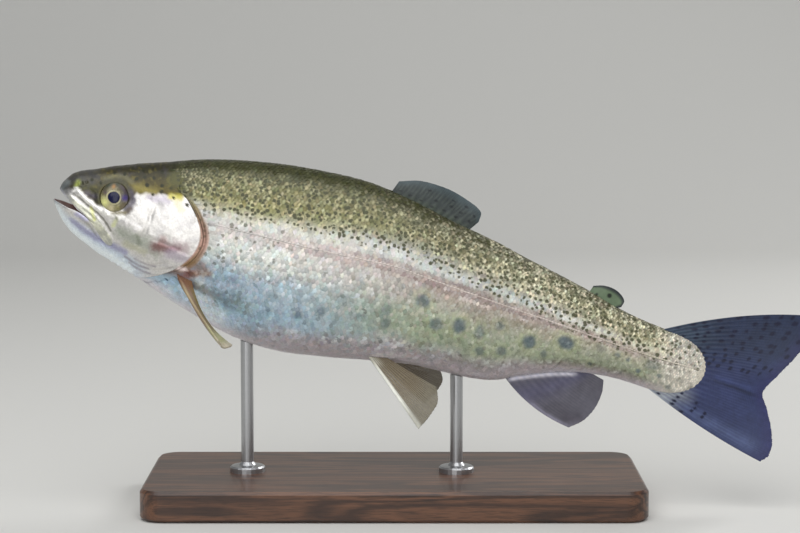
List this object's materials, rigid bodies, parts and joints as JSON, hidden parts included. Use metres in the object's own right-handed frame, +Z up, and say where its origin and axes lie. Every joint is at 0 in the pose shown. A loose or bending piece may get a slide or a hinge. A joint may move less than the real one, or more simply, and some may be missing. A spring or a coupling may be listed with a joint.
{
  "type": "rainbow trout display model",
  "caption": "Life-size rainbow trout swimming nose-up, mouth a little open, with spread tail and lowered fins, held on rods over a plain flat display base.",
  "frame": {"origin": "centre of the flat underside of the stand's base", "axes": "+X from the fish's head towards its tail, +Y towards its right side, +Z up from the floor"},
  "size_m": [0.3022, 0.084, 0.1368],
  "materials": {
    "skin": "wet, scaled, silvery and speckled",
    "jaw": "smooth wet skin",
    "gill_cover": "smooth silver sheen",
    "fin": "rayed membrane, dark spots",
    "pale_fin": "rayed membrane",
    "eye": "polished",
    "stand_wood": "satin varnish",
    "stand_steel": "satin"
  },
  "bodies": {
    "root": {"head": "skin", "trunk": "skin", "tail_stalk": "skin", "lower_jaw": "jaw", "upper_jaw_left": "jaw", "upper_jaw_right": "jaw", "gill_cover_left": "gill_cover", "gill_cover_right": "gill_cover", "eye_left": "eye", "eye_right": "eye", "dorsal_fin": "fin", "adipose_fin": "fin", "tail_fin": "fin", "anal_fin": "pale_fin", "pectoral_fin_left": "pale_fin", "pectoral_fin_right": "pale_fin", "pelvic_fin_left": "pale_fin", "pelvic_fin_right": "pale_fin", "stand_base": "stand_wood", "stand_rod_front": "stand_steel", "stand_rod_rear": "stand_steel"}
  },
  "joints": []
}
